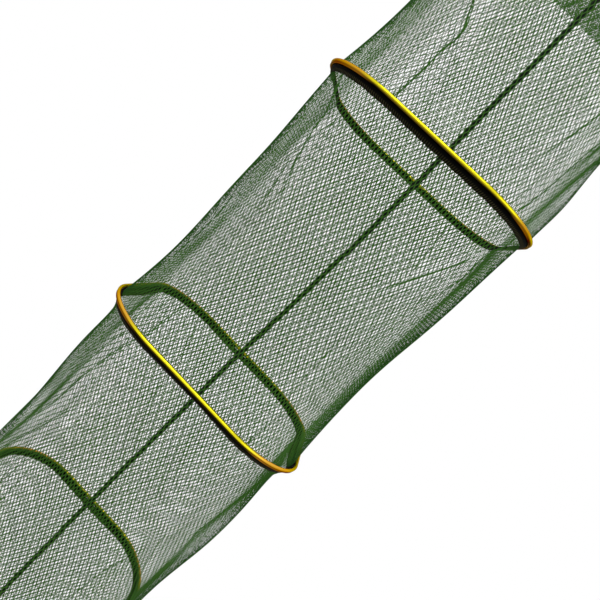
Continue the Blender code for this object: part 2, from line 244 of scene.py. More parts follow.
# The section as (inset, height): from the groove over the bead to the wall inside, down the wall,
# out along the foot of the lip and up again into the groove.
bead_angles = np.radians(np.linspace(GROOVE_ANGLE, 180, BEAD_POINTS))
bead = [(-BEAD_RADIUS * math.cos(a), BEAD_RADIUS * math.sin(a)) for a in bead_angles]
hoop_section = bead + [
    (BEAD_RADIUS, -LIP_DROP),
    (-LIP_REACH + LIP_EDGE, -LIP_DROP),
    (-LIP_REACH, -LIP_DROP + LIP_EDGE),
    (-LIP_REACH, -LIP_DROP + LIP_THICKNESS),
    (-LIP_REACH + 0.0005, -LIP_DROP + 0.0013),
    (-LIP_REACH + 0.0002, -LIP_DROP + 0.0022),
]
section_heights = np.array(hoop_section)[:, 1]
round_shares = np.tile((section_heights + LIP_DROP) / (BEAD_RADIUS + LIP_DROP), HOOP_TURNS)
hoop_turns = np.arange(HOOP_TURNS) / HOOP_TURNS
hoop_quarters = hoop_turns * 4
hoop_faces = grid_faces(HOOP_TURNS, len(hoop_section))
for number, body in enumerate(HOOP_NAMES):
    points = on_hoop(number, carried_round(hoop_section, hoop_turns))
    hoop = solid_piece(f"{body}_gold_hoop", points, hoop_faces, gold.material, body)
    per_point(hoop, "round", round_shares)
    reach = np.array([BEND_REACHES.get((body, int(quarter)), BEND_REACH) for quarter in hoop_quarters])
    bend = np.clip((reach - np.abs(hoop_quarters % 1.0 - 0.5)) / BEND_FADE, 0, 1)
    per_point(hoop, "bend", np.repeat(bend, len(hoop_section)))
    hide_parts(f"{body}_hoop")

# Binding tapes. A black ribbed tape is folded over each hoop's lip: its skirt hangs below and
# slopes inwards, its flange stands up inside the bead, and the netting is caught between them.
# At the seam the tape is pinched, so more of the gold shows on both sides of it.
TAPE_RIBS = 384
RIB_SAMPLES = 6
RIB_DEPTH = 0.00030
RIB_DROP = 0.00030
TAPE_TOP = -0.0043
TAPE_FOOT = -0.0118
TAPE_INSET = 0.0079
RECESS_FOOT = -0.0076
FLANGE_TOP = 0.0002
FLANGE_FOOT = -0.0060
FLANGE_INSET = 0.0027
# The foot is drawn further in along the sides than at the corners.
SIDE_DRAW = 0.0026
# How many times each ripple goes round, and how high they are at the tape's foot and flange.
RIPPLE_COUNTS = (7, 13, 29, 61)
FOOT_RIPPLE = 0.00022
FLANGE_RIPPLE = 0.00012
PINCH_DEPTH = 0.0044
PINCH_AWAY = 0.0100
PINCH_REACH = 0.0058
HOOP_ROUND = 1.2
# The turn of the side that the seam is on, how far the seam lies from its middle at each hoop,
# and how it bows in each bay.
SEAM_TURN = 0.25
SEAM_SHIFTS = (0.0044, 0.0079, -0.0004, -0.0023, 0.0, 0.0)
SEAM_BOWS = (0.0, 0.0030, 0.0, 0.0, 0.0)

binding = Finish("black ribbed tape", Roughness=0.9, Specular_IOR_Level=0.05)
# The rib tops are painted lighter, and the furrows and the plain recess under the lip near black:
# painted light and painted shade.
ribbed = binding.ramp(
    binding.number("painted_rib_light"),
    (0.0, (0.0012, 0.0011, 0.001)),
    (0.25, (0.0030, 0.0027, 0.0016)),
    (1.0, (0.052, 0.047, 0.022)),
)
faded = binding.between(binding.noise(0.006, detail=3.0), low=0.0, high=0.35, start=0.45, end=0.7)
binding.join(binding.mixed(faded, ribbed, (0.006, 0.006, 0.004, 1.0)), "Base Color")
binding.bumped(binding.noise(0.0005, detail=3.0), distance=0.0001)


def side_draw(turn):
    """How far tape and netting are drawn in at a turn: most at the middles of the sides."""
    return SIDE_DRAW * np.cos(turn * 8 * math.pi)


def turns_from(centre, turn):
    """How far a turn is from another one, the short way round."""
    return (turn - centre + 0.5) % 1.0 - 0.5


def uneven(rng, along, counts):
    """Waves of random height and start, added up, for cloth that never lies quite straight."""
    return sum(
        rng.uniform(0.3, 1.0) * np.sin(2 * math.pi * (along * count + rng.uniform()))
        for count in counts
    )


# Outer face from the recess under the lip down to the foot, then back up inside to the flange: the
# inset from the hoop's line, the height, and how far the ribs show there, in depth and in painted
# light; where they don't show, the tape is painted near black as painted shade.
tape_skirt = [
    (0.0026, TAPE_TOP, 0.0),
    (0.0029, -0.0056, 0.0),
    (0.0034, -0.0068, 0.0),
    (0.0033, RECESS_FOOT, 0.35),
    (0.0043, -0.0086, 1.0),
    (0.0055, -0.0098, 1.0),
    (0.0066, -0.0108, 1.0),
    (TAPE_INSET, TAPE_FOOT, 1.0),
]
tape_inside = [
    (TAPE_INSET + 0.0008, TAPE_FOOT + 0.0002, 1.0),
    (0.0072, -0.0098, 0.6),
    (0.0052, -0.0074, 0.3),
    (0.0042, -0.0046, 0.3),
    (0.0035, -0.0026, 0.3),
    (0.0034, FLANGE_TOP, 0.3),
    (FLANGE_INSET, FLANGE_TOP, 0.0),
    (FLANGE_INSET, -0.0040, 0.0),
]
tape_section = np.array(tape_skirt + tape_inside)
tape_outline, ribs_show = tape_section[None, :, :2], tape_section[None, :, 2]
tape_turns = np.arange(TAPE_RIBS * RIB_SAMPLES) / (TAPE_RIBS * RIB_SAMPLES)
rib_wave = np.cos(np.arange(len(tape_turns)) * 2 * math.pi / RIB_SAMPLES)
tape_faces = grid_faces(len(tape_turns), len(tape_section))
for number, body in enumerate(HOOP_NAMES):
    rng = np.random.default_rng(11 + number)
    sections = np.repeat(tape_outline, len(tape_turns), 0)
    sections[..., 0] -= RIB_DEPTH * (rib_wave[:, None] * ribs_show)
    drawn = np.clip((RECESS_FOOT - sections[..., 1]) / (RECESS_FOOT - TAPE_FOOT), 0, 1)
    sections[..., 0] += side_draw(tape_turns)[:, None] * drawn
    ripple = uneven(rng, tape_turns, RIPPLE_COUNTS)
    sections[..., 1] += drawn * (FOOT_RIPPLE * ripple + RIB_DROP * rib_wave)[:, None]
    # The flange stands uneven, and it is pinched down on both sides of the seam.
    seam_here = SEAM_TURN - SEAM_SHIFTS[number] / HOOP_ROUND
    away = np.abs(turns_from(seam_here, tape_turns)) * HOOP_ROUND
    pinch = np.exp(-(((away - PINCH_AWAY) / PINCH_REACH) ** 4))
    flange = np.clip((sections[..., 1] - FLANGE_FOOT) / (FLANGE_TOP - FLANGE_FOOT), 0, 1) ** 0.5
    sections[..., 1] -= flange * (PINCH_DEPTH * pinch - FLANGE_RIPPLE * ripple)[:, None]
    points = on_hoop(number, carried_round(sections, tape_turns))
    tape = solid_piece(f"{body}_ribbed_tape", points, tape_faces, binding.material, body)
    per_point(tape, "painted_rib_light", (0.5 + 0.5 * rib_wave[:, None]) * ribs_show)
    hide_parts(f"{body}_tape")

# Netting. One tube of knotless green netting, of flat braided strands that run down the net in
# zigzags and join their neighbours at every bend, sewn to each hoop and drawn in between them.
# It gathers in long folds that start from the hoops' corners.
NET_STRANDS = 420
NET_HALF_ROWS = 79
STRAND_WIDTHS = (0.00113, 0.00129, 0.00129, 0.00129, 0.00129)
STRAND_DEPTH = 0.00038
JOIN_OFFSET = 0.00042
NET_TOP = -0.0116
NET_FOOT = -0.0040
NET_HEIGHT = HOOP_PITCH + NET_TOP - NET_FOOT
NET_TOP_INSET = 0.0083
NET_TUCKED_INSET = 0.0043
NET_FOOT_INSET = 0.0052
BEHIND_TAPE = 0.0050
BEHIND_BEAD = 0.0035
HELD_CLOSE = 0.012
# The waist that it is drawn in to between the hoops, and how much rounder it is there.
NET_WAIST = 0.0087
WAIST_LEAN = 1.7
ROUNDING = 0.036
ROUNDING_SPREAD = 0.6
ROUNDING_OUT = 0.154

# The folds that the front shows, bay by bay: the share of the way down and the turn along each,
# its width in turns, how far it gathers the netting, and how far it stands out.
SEEN_FOLDS = {
    0: [
        ([(0.50, 0.645), (0.55, 0.652), (0.652, 0.6698), (0.72, 0.682)], 0.0085, 0.9, 0.0010),
        ([(0.58, 0.660), (0.652, 0.6718), (0.738, 0.6878), (0.86, 0.715)], 0.0110, 0.6, 0.0010),
        ([(0.70, 0.686), (0.80, 0.6854), (0.868, 0.6882), (1.15, 0.6885)], 0.0110, 1.1, 0.0015),
        ([(0.55, 0.862), (0.633, 0.8517), (0.743, 0.8431), (0.833, 0.8351), (0.88, 0.832)],
         0.0058, 0.9, 0.0010),
        ([(0.50, 0.898), (0.665, 0.8833), (0.75, 0.8764), (0.893, 0.8656), (1.15, 0.838)],
         0.0065, 1.1, 0.0020),
    ],
    1: [
        ([(-0.06, 0.612), (0.065, 0.633), (0.118, 0.6427), (0.185, 0.6444), (0.288, 0.6545),
          (0.37, 0.6656), (0.47, 0.669)], 0.0058, 1.0, 0.0010),
        ([(0.28, 0.645), (0.383, 0.6528), (0.48, 0.658)], 0.0044, 0.7, 0.0006),
        ([(0.02, 0.630), (0.07, 0.6389), (0.16, 0.665)], 0.0044, 0.7, 0.0006),
        ([(-0.06, 0.892), (0.06, 0.8785), (0.11, 0.8719), (0.195, 0.8767), (0.283, 0.8712),
          (0.36, 0.856)], 0.0050, 0.9, 0.0020),
        ([(0.12, 0.868), (0.198, 0.8535), (0.288, 0.8354), (0.378, 0.8188), (0.45, 0.806)],
         0.0048, 0.9, 0.0006),
        ([(0.84, 0.640), (0.90, 0.6476), (1.02, 0.651)], 0.0051, 0.6, 0.0008),
        ([(0.82, 0.680), (0.922, 0.6760), (1.02, 0.6753)], 0.0051, 0.6, 0.0008),
        ([(0.45, 0.602), (0.57, 0.610), (0.67, 0.609), (0.85, 0.600)], 0.0050, 0.8, 0.0),
    ],
    2: [
        ([(-0.04, 0.675), (0.068, 0.6615), (0.22, 0.6497), (0.357, 0.641), (0.485, 0.6219),
          (0.65, 0.600)], 0.0061, 0.6, 0.0015),
        ([(-0.04, 0.662), (0.055, 0.6479), (0.128, 0.6431), (0.28, 0.630)], 0.0044, 0.6, 0.0010),
        ([(0.28, 0.670), (0.422, 0.6521), (0.527, 0.6368), (0.70, 0.612)], 0.0048, 0.6, 0.0010),
        ([(0.0, 0.905), (0.055, 0.893), (0.325, 0.8809), (0.455, 0.8944), (0.65, 0.9024)],
         0.0050, 0.8, 0.0),
    ],
}
# A fold gathers fully over the first seventh of its length and lets go over the last two
# fifths. Its middle is painted darker by a share of what it gathers, as painted shade.
FOLD_GATHERS = 7
FOLD_LETS_GO = 2.5
FOLD_SHADE = 0.35
# The other folds start near the hoops' corners: how many there are at a corner, how far to the
# side they start, how long they are, how far they drift, how wide, how drawn and how far out.
FOLDS_AT_CORNER = 3
FIRST_CORNER = 0.125
FOLD_ASIDE = 0.05
FOLD_LENGTHS = (0.15, 0.65)
FOLD_DRIFT = 0.045
FOLD_WIDTHS = (0.0028, 0.0070)
FOLD_DRAWS = (0.3, 0.9)
FOLD_LIFTS = (0.0008, 0.0026)
FOLD_PATH = np.array([-0.02, 0.3, 0.65, 1.0])
FOLD_BEND = np.array([0.0, 0.45, 0.8, 1.0])
# Netting bunches along the hoops' far corners and is painted darker there, and it is painted darker
# round their near ones, both as painted shade; it swells out or in here and there: the turn and share
# of each swell, how far it reaches, and how far out.
CORNER_BUNCHES = ((0.098, 0.10), (0.402, 0.10))
BUNCH_WIDTH = 0.026
SHADED_CORNERS = ((0.586, 0.85), (0.920, 0.85))
SHADED_CORNER_WIDTH = 0.020
SWELLS = {
    0: [(0.925, 0.84, 0.050, 0.13, 0.0065)],
    2: [
        (0.926, 0.05, 0.040, 0.12, -0.0055),
        (0.926, 0.45, 0.050, 0.20, 0.0065),
        (0.581, 0.05, 0.040, 0.12, -0.0035),
        (0.580, 0.65, 0.050, 0.20, 0.0030),
    ],
}
# The slow waves of hanging netting: how many, how large round the tube in turns and outwards in
# metres, and how far from the seam they are stilled.
SLACK_WAVES = 9
SLACK_ROUND = 0.0010
SLACK_OUT = 0.0009
SLACK_SPREAD = 0.7
SEAM_STILLS = 0.02

twine = Finish("green knotless netting", Roughness=0.7, Specular_IOR_Level=0.08)
dye = twine.ramp(
    twine.noise(0.03, detail=3.0),
    (0.30, (0.035, 0.118, 0.012)),
    (0.50, (0.045, 0.143, 0.016)),
    (0.72, (0.057, 0.170, 0.021)),
)
mottling = twine.between(twine.noise(0.0009), low=0.0, high=0.5)
mottled = twine.mixed(mottling, dye, (0.025, 0.080, 0.008, 1.0))
# Folds, bunches and the near corners are painted darker: painted shade.
shaded = twine.between(twine.number("painted_shade"), low=0.0, high=1.0, start=0.15, end=0.9)
twine.join(twine.mixed(shaded, mottled, (0.010, 0.052, 0.005, 1.0)), "Base Color")
twine.join(twine.between(twine.noise(0.002), low=0.6, high=0.8), "Roughness")
twine.bumped(twine.noise(0.0004), distance=0.00008)


def netting_surface(bay, turn, share, outward=0.0, held=True):
    """Where the netting of a bay lies, turn of the way round and share of the way down."""
    level = NET_TOP - NET_HEIGHT * share
    within = np.clip(share, 0, 1)
    drawn = np.sin(math.pi * within**WAIST_LEAN)
    top_inset = NET_TOP_INSET + side_draw(turn)
    rounded = ROUNDING * np.sin(math.pi * within) ** ROUNDING_SPREAD
    inset = top_inset + (NET_FOOT_INSET - top_inset) * within
    inset = inset + NET_WAIST * drawn - ROUNDING_OUT * rounded
    tucked = np.clip((level - NET_TOP) / BEHIND_TAPE, 0, 1)
    inset = inset + (NET_TUCKED_INSET - inset) * tucked
    points, facing = rounded_square(HOOP_HALF - inset, HOOP_CORNER - inset + rounded, turn)
    hanging = np.clip((NET_TOP - level) / HELD_CLOSE, 0, 1) if held else 1.0
    points = points + facing * (outward * hanging + 0 * turn)[..., None]
    flat = np.zeros_like(level + turn)[..., None]
    level_points = np.concatenate([points, flat], -1)
    above = on_hoop(bay, level_points + [0, 0, NET_TOP])
    below = on_hoop(bay + 1, level_points + [0, 0, NET_FOOT])
    above[..., 2] += level - NET_TOP
    below[..., 2] += HOOP_PITCH + level - NET_FOOT
    weight = within[..., None]
    return above * (1 - weight) + below * weight, np.concatenate([facing, flat], -1)


def one_fold(turn, share, path, width, draw, lift):
    """What one fold does: a shift round the tube in turns, one outwards, and how much shade is painted
    on it.
    """
    shares, turns = zip(*path)
    gone = (share - shares[0]) / (shares[-1] - shares[0])
    hold = np.clip(gone * FOLD_GATHERS, 0, 1) * np.clip((1 - gone) * FOLD_LETS_GO, 0, 1)
    apart = turns_from(np.interp(share, shares, turns), turn) / width
    near = np.exp(-(apart**2))
    return -draw * hold * apart * width * near, lift * hold * near, FOLD_SHADE * draw * hold * near


def folds_of(bay, turn, share):
    """What all the folds, bunches and swells of a bay do, as the same three numbers."""
    rng = np.random.default_rng(50 + bay)
    folds = list(SEEN_FOLDS.get(bay, ()))
    corners, at_corner = (2, 1) if bay in SEEN_FOLDS else (4, FOLDS_AT_CORNER)
    for corner in range(corners):
        for from_below in (False, True):
            for _ in range(at_corner):
                start = FIRST_CORNER + corner * 0.25 + rng.uniform(-FOLD_ASIDE, FOLD_ASIDE)
                shares = FOLD_PATH * rng.uniform(*FOLD_LENGTHS)
                turns = start + rng.uniform(-FOLD_DRIFT, FOLD_DRIFT) * FOLD_BEND
                if from_below:
                    shares, turns = 1 - shares[::-1], turns[::-1]
                lift = rng.choice((-1.0, 1.0)) * rng.uniform(*FOLD_LIFTS)
                width, draw = rng.uniform(*FOLD_WIDTHS), rng.uniform(*FOLD_DRAWS)
                folds.append((list(zip(shares, turns)), width, draw, lift))
    parts = [one_fold(turn, share, *fold) for fold in folds]
    shift, outward, painted_shade = (sum(part[k] for part in parts) for k in range(3))
    for centre, draw in CORNER_BUNCHES:
        apart = turns_from(centre, turn) / BUNCH_WIDTH
        near = np.exp(-(apart**2))
        shift = shift - draw * apart * BUNCH_WIDTH * near
        painted_shade = painted_shade + draw * near
    for centre, corner_shade in SHADED_CORNERS:
        painted_shade = painted_shade + corner_shade * np.exp(-((turns_from(centre, turn) / SHADED_CORNER_WIDTH) ** 2))
    for centre, level, turn_reach, share_reach, swell in SWELLS.get(bay, ()):
        apart = turns_from(centre, turn) / turn_reach
        outward = outward + swell * np.exp(-(apart**2) - ((share - level) / share_reach) ** 2)
    return shift, outward, painted_shade


def slack_of(bay, turn, share):
    """The slow waves of hanging netting, round the tube and outwards."""
    rng = np.random.default_rng(80 + bay)
    shift = np.zeros_like(turn)
    outward = np.zeros_like(turn)
    free = np.sin(math.pi * np.clip(share, 0, 1)) ** SLACK_SPREAD
    for _ in range(SLACK_WAVES):
        round_count, down_count = rng.integers(2, 15), rng.uniform(0.3, 2.2)
        wave = np.sin(2 * math.pi * (turn * round_count + share * down_count + rng.uniform()))
        shift += rng.uniform(0.2, 0.5) * SLACK_ROUND * wave * free
        wave = np.sin(2 * math.pi * (turn * round_count - share * down_count + rng.uniform()))
        outward += rng.uniform(0.2, 0.6) * SLACK_OUT * wave * free
    beside_seam = np.exp(-((turns_from(SEAM_TURN, turn) / SEAM_STILLS) ** 2))
    return shift, outward * (1 - beside_seam)


def strand_tubes(name, line, facing, painted_shade, body, width, kept=None):
    """Flat thin strands along lines of points: strands x points x 3, all or the kept stretches."""
    strands, count, _ = line.shape
    along = np.gradient(line, axis=1)
    along /= np.linalg.norm(along, axis=-1, keepdims=True)
    across = np.cross(along, facing)
    across /= np.linalg.norm(across, axis=-1, keepdims=True)
    up = np.cross(across, along)
    low, high = -0.4 * STRAND_DEPTH * up, 0.6 * STRAND_DEPTH * up
    side = across * width / 2
    points = np.stack([line + low - side, line + low + side, line + high], 2)
    tube = grid_faces(count, 3, close_rows=False)
    faces = tube[None] + (np.arange(strands) * count * 3)[:, None, None]
    if kept is not None:
        faces = faces[np.repeat(kept, 3, axis=1)]
    used, faces = np.unique(faces.reshape(-1, 4), return_inverse=True)
    points = points.reshape(-1, 3)[used]
    net = solid_piece(name, points, faces.reshape(-1, 4), twine.material, body)
    shade = np.repeat(np.broadcast_to(painted_shade, (strands, count)).ravel(), 3)
    per_point(net, "painted_shade", shade[used])
    return net


def zigzag(bay, strands, half_rows, start, stop, outward=0.0):
    """The lines of a stretch of netting: strand by strand, a point at every join."""
    strand = np.arange(strands)[:, None]
    row = np.arange(half_rows + 1)[None, :]
    right = (strand + row) % 2
    share = start + (stop - start) * row / half_rows + 0 * strand
    turn = (strand + right + (0.5 - right) * 2 * JOIN_OFFSET * strands / HOOP_ROUND) / strands
    fold_shift, fold_out, painted_shade = folds_of(bay, turn, share)
    slack_shift, slack_out = slack_of(bay, turn, share)
    turn = turn + fold_shift + slack_shift
    return *netting_surface(bay, turn, share, outward + fold_out + slack_out), painted_shade


def goes_with_bay(piece):
    """Gives a piece of a bay its own copy of its mesh."""
    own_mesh(piece)


net_start, net_stop = -BEHIND_TAPE / NET_HEIGHT, 1 - BEHIND_BEAD / NET_HEIGHT
for bay in range(5):
    strands = zigzag(bay, NET_STRANDS, NET_HALF_ROWS, net_start, net_stop)
    net = strand_tubes(f"netting_{bay + 1}", *strands, HOOP_NAMES[bay], STRAND_WIDTHS[bay])
    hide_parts(f"net_{bay + 1}")
    goes_with_bay(net)

# Collar. Under the mouth the netting is doubled with a band of a closer knit of the same twine,
# which takes the wear. Its upper edge is sewn in under the mouth's tape with the netting.
COLLAR_STRANDS = 760
COLLAR_ROWS = 18
COLLAR_HEIGHT = 0.050
COLLAR_OUT = 0.0012

collar_stop = COLLAR_HEIGHT / NET_HEIGHT
strands = zigzag(0, COLLAR_STRANDS, COLLAR_ROWS, net_start, collar_stop, COLLAR_OUT)
collar = strand_tubes("doubled_collar", *strands, "mouth", STRAND_WIDTHS[0])
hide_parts("mouth_collar")
goes_with_bay(collar)

# Base net. A flat square of the same netting closes the foot: it is cut to the last hoop's
# rounded square, bound to the foot of its tape all the way round, and sags into a shallow dish.
BASE_LEVEL = NET_TOP - 0.0006
BASE_SAG = 0.010
BASE_INSET = 0.0080
BASE_HALF = HOOP_HALF - BASE_INSET
BASE_STRANDS = 122
BASE_ROWS = 64
BASE_WAVES = 6
BASE_WAVE_COUNT = 30
BASE_SHIFT_X = 0.0006
BASE_SHIFT_Y = 0.0005


def dish_share(x, y):
    """How far out a point is in the base's rounded square: 0 in the middle, 1 at the edge."""
    a, b = np.abs(x) / BASE_HALF, np.abs(y) / BASE_HALF
    corner = (HOOP_CORNER - BASE_INSET) / BASE_HALF
    straight = 1 - corner
    flat = np.maximum(a, b)
    scale = straight * (a + b)
    square = 2 * straight**2 - corner**2
    under_root = np.clip(scale**2 - square * (a * a + b * b), 0, None)
    round_share = (scale - np.sqrt(under_root)) / square
    return np.where(np.minimum(a, b) > flat * straight, round_share, flat)


strand = np.arange(BASE_STRANDS + 1)[:, None]
row = np.arange(BASE_ROWS + 1)[None, :]
right = (strand + row) % 2
spacing = 2 * BASE_HALF / BASE_STRANDS
x = (strand - BASE_STRANDS / 2 - 0.5 + right) * spacing + (0.5 - right) * 2 * JOIN_OFFSET
y = (row / BASE_ROWS * 2 - 1) * BASE_HALF + 0 * strand
rng = np.random.default_rng(140)
for _ in range(BASE_WAVES):
    wave_x = x * rng.uniform(-BASE_WAVE_COUNT, BASE_WAVE_COUNT)
    wave_y = y * rng.uniform(-BASE_WAVE_COUNT, BASE_WAVE_COUNT)
    wave = np.sin((wave_x + wave_y) + rng.uniform(0, 6))
    x, y = x + BASE_SHIFT_X * wave, y + BASE_SHIFT_Y * wave
share = dish_share(x, y)
z = BASE_LEVEL - BASE_SAG * (1 - share**2)
line = on_hoop(5, np.stack([x, y, z], -1))
facing = np.broadcast_to([0.0, 0.0, 1.0], line.shape)
inside = (share[:, 1:] < 1.0) & (share[:, :-1] < 1.0)
base = strand_tubes("foot_netting", line, facing, 0.0, "ring_5", STRAND_WIDTHS[4], inside)
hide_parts("base_net")

# Seam. The netting's two edges are felled together on the side away from the head: a firm dark
# strip with two rows of stitches, which runs inside every hoop from the mouth to the foot.
SEAM_WIDTH = 0.0095
SEAM_DEPTH = 0.0024
SEAM_IN = 0.0013
SEAM_ROWS = 208
SEAM_LENGTH = 0.9975
SEAM_WANDER = 0.0004
WANDER_COUNTS = (1.3, 3.1, 7.7)
# Every stitch pulls the strip a little narrower, and its width varies slowly besides.
STITCH_PULL = 0.05
WIDTH_VARIES = 0.035
WIDTH_WAVE = 173
# A stitch is a short loop of thread, arched in the middle and pulled down at both ends.
STITCH_PITCH = 0.0034
STITCH_LENGTH = 0.0026
STITCH_RADIUS = 0.00036
STITCH_ROW = 0.0029
STITCH_SLIP = 0.00015
STITCH_ARCH = 0.00030
STITCH_SUNK = 0.90
STITCH_POINTS = 5
STITCHES = int(NET_HEIGHT * 0.99 / STITCH_PITCH)

felled = Finish("dark green felled seam", Roughness=0.8, Specular_IOR_Level=0.2)
felled_dye = felled.ramp(
    felled.noise(0.0022, detail=3.0),
    (0.35, (0.0008, 0.0022, 0.0006)),
    (0.60, (0.0014, 0.0050, 0.0010)),
    (0.78, (0.0035, 0.0130, 0.0025)),
)
felled.join(felled_dye, "Base Color")
felled.bumped(felled.noise(0.0011, detail=3.0), distance=0.0003)
thread = Finish("dark green thread", Roughness=0.6, Specular_IOR_Level=0.3)
thread_dye = thread.ramp(
    thread.noise(0.002),
    (0.3, (0.0030, 0.013, 0.0022)),
    (0.7, (0.008, 0.030, 0.006)),
)
thread.join(thread_dye, "Base Color")
thread.bumped(thread.noise(0.0003), distance=0.00006)

# The strip's section: across it as a share of its width, and inwards as a share of its depth.
# Its other half is the same the other way round, and it is flat on the netting.
half_strip = [(-0.50, 0.18), (-0.50, 0.55), (-0.44, 0.86), (-0.31, 0.98), (-0.27, 0.90), (-0.15, 1.0)]
strip_section = half_strip + [(0.0, 0.94)] + [(-a, b) for a, b in half_strip[::-1]]
strip_section += [(0.30, 0.0), (-0.30, 0.0)]


def seam_points(bay, share, across, inwards):
    """Points of the seam of a bay: across it and inwards from the netting, in metres."""
    bow = SEAM_BOWS[bay] * np.sin(math.pi * np.clip(share, 0, 1))
    path = SEAM_SHIFTS[bay] * (1 - share) + SEAM_SHIFTS[bay + 1] * share + bow
    turn = SEAM_TURN - (across + path) / HOOP_ROUND
    return netting_surface(bay, turn, share, -SEAM_IN - inwards, held=False)[0]


strip_across, strip_deep = np.array(strip_section).T
strip_share = (np.arange(SEAM_ROWS) / (SEAM_ROWS - 1) * SEAM_LENGTH)[:, None]
strip_faces = grid_faces(SEAM_ROWS, len(strip_section), close_rows=False)
pulls = STITCH_PULL * np.sin(strip_share * 2 * math.pi * NET_HEIGHT / STITCH_PITCH)
wander_share = np.linspace(0, SEAM_LENGTH, SEAM_ROWS)
# Stitch by stitch, ring by ring along each, and point by point round each ring.
stitch_along = np.linspace(0, 1, STITCH_POINTS)
stitch_angles = np.arange(STITCH_POINTS) / STITCH_POINTS * 2 * math.pi
stitch_start = ((np.arange(STITCHES) + 0.3) * STITCH_PITCH / NET_HEIGHT)[:, None, None]
stitch_gone = stitch_along[None, :, None] * STITCH_LENGTH / NET_HEIGHT
stitch_share = stitch_start + stitch_gone + 0 * stitch_angles
stitch_arch = np.sin(math.pi * stitch_along)[None, :, None]
stitch_radius = (0.35 + 0.65 * stitch_arch) * STITCH_RADIUS
stitch_rise = SEAM_DEPTH * STITCH_SUNK + STITCH_ARCH * stitch_arch
one_stitch = grid_faces(STITCH_POINTS, STITCH_POINTS, close_rows=False)[None]
first_points = (np.arange(2 * STITCHES) * STITCH_POINTS**2)[:, None, None]
stitch_faces = (one_stitch + first_points).reshape(-1, 4)
for bay in range(5):
    rng = np.random.default_rng(170 + bay)
    wander = uneven(rng, strip_share, WANDER_COUNTS)
    swell = 1 + pulls + WIDTH_VARIES * np.sin(strip_share * WIDTH_WAVE + bay)
    across = strip_across * SEAM_WIDTH * swell + SEAM_WANDER * wander
    strip = seam_points(bay, strip_share, across, strip_deep * SEAM_DEPTH + 0 * strip_share)
    seam = solid_piece(f"felled_seam_{bay + 1}", strip, strip_faces, felled.material, HOOP_NAMES[bay])
    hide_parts(f"seam_{bay + 1}")
    goes_with_bay(seam)

    rows = []
    strip_there = SEAM_WANDER * np.interp(stitch_share, wander_share, wander[:, 0])
    for side in (-1, 1):
        slip = rng.uniform(-STITCH_SLIP, STITCH_SLIP, STITCHES)[:, None, None]
        across = side * STITCH_ROW + slip + stitch_radius * np.cos(stitch_angles) + strip_there
        inwards = stitch_rise + stitch_radius * np.sin(stitch_angles)
        rows.append(seam_points(bay, stitch_share, across, inwards))
    points = np.concatenate(rows)
    name = f"seam_stitches_{bay + 1}"
    stitches = solid_piece(name, points, stitch_faces, thread.material, HOOP_NAMES[bay])
    goes_with_bay(stitches)

# Seam bridges. The seam crosses each hoop inside its tape, where the strip is folded double: a
# short thick piece of the same strip, sewn down over the flange and out under the tape's foot.
BRIDGE_DEPTH = 0.0022
BRIDGE_WIDER = 1.04

# The bridge's section, as the strip's, and the way it takes over the hoop: the inset, the height
# and how thick it is there.
half_bridge = [(-0.5, 0.25), (-0.5, 0.7), (-0.4, 0.95)]
bridge_section = half_bridge + [(0.0, 1.05)] + [(-a, b) for a, b in half_bridge[::-1]]
bridge_section += [(0.3, 0.0), (-0.3, 0.0)]
bridge_path = [
    (0.0038, -0.0002, 0.55),
    (0.0040, -0.0026, 0.95),
    (0.0050, -0.0050, 1.0),
    (0.0072, -0.0078, 1.0),
    (0.0100, -0.0106, 1.0),
    (0.0116, -0.0130, 0.95),
    (0.0118, -0.0150, 0.55),
]
bridge_across, bridge_deep = np.array(bridge_section).T
path_inset, path_height, thickness = np.array(bridge_path).T[:, :, None]
inset = path_inset + bridge_deep * BRIDGE_DEPTH * thickness
bridge_faces = grid_faces(len(bridge_path), len(bridge_section), close_rows=False)
for number, body in enumerate(HOOP_NAMES):
    x = SEAM_SHIFTS[number] - bridge_across * SEAM_WIDTH * BRIDGE_WIDER + 0 * inset
    points = on_hoop(number, np.stack([x, HOOP_HALF - inset, path_height + 0 * inset], -1))
    bridge = solid_piece(f"{body}_seam_bridge", points, bridge_faces, felled.material, body)

# Foot cord. A twisted cord of the seam's dark green stuff binds the edge of the base net and the
# netting of the last bay to the foot of the last tape, all the way round.
CORD_RADIUS = 0.0011
CORD_INSET = 0.0094
CORD_SIDES = 10
CORD_STEPS = 720
CORD_TWISTS = 180
CORD_TWIST_DEPTH = 0.12

cord_angles = np.arange(CORD_SIDES) / CORD_SIDES * 2 * math.pi
cord_ring = CORD_RADIUS * np.stack([np.cos(cord_angles), np.sin(cord_angles)], -1)
cord_turns = np.arange(CORD_STEPS) / CORD_STEPS
twist = 1 + CORD_TWIST_DEPTH * np.cos(cord_turns * 2 * math.pi * CORD_TWISTS)[:, None, None]
cord_middle = np.stack([CORD_INSET + side_draw(cord_turns), BASE_LEVEL + 0 * cord_turns], -1)
points = on_hoop(5, carried_round(cord_ring * twist + cord_middle[:, None], cord_turns))
cord_faces = grid_faces(CORD_STEPS, CORD_SIDES)
foot_cord = solid_piece("foot_binding_cord", points, cord_faces, felled.material, "ring_5")

# Head. Two halves moulded in black nylon grip the mouth hoop between them, and two screws draw
# them together. The outer one has a boss and a web for the stud. The rounds of the moulding are
# smooth and its edges stay crisp.
MOULD_MERGE = 0.00001
MOULD_EDGE = 30

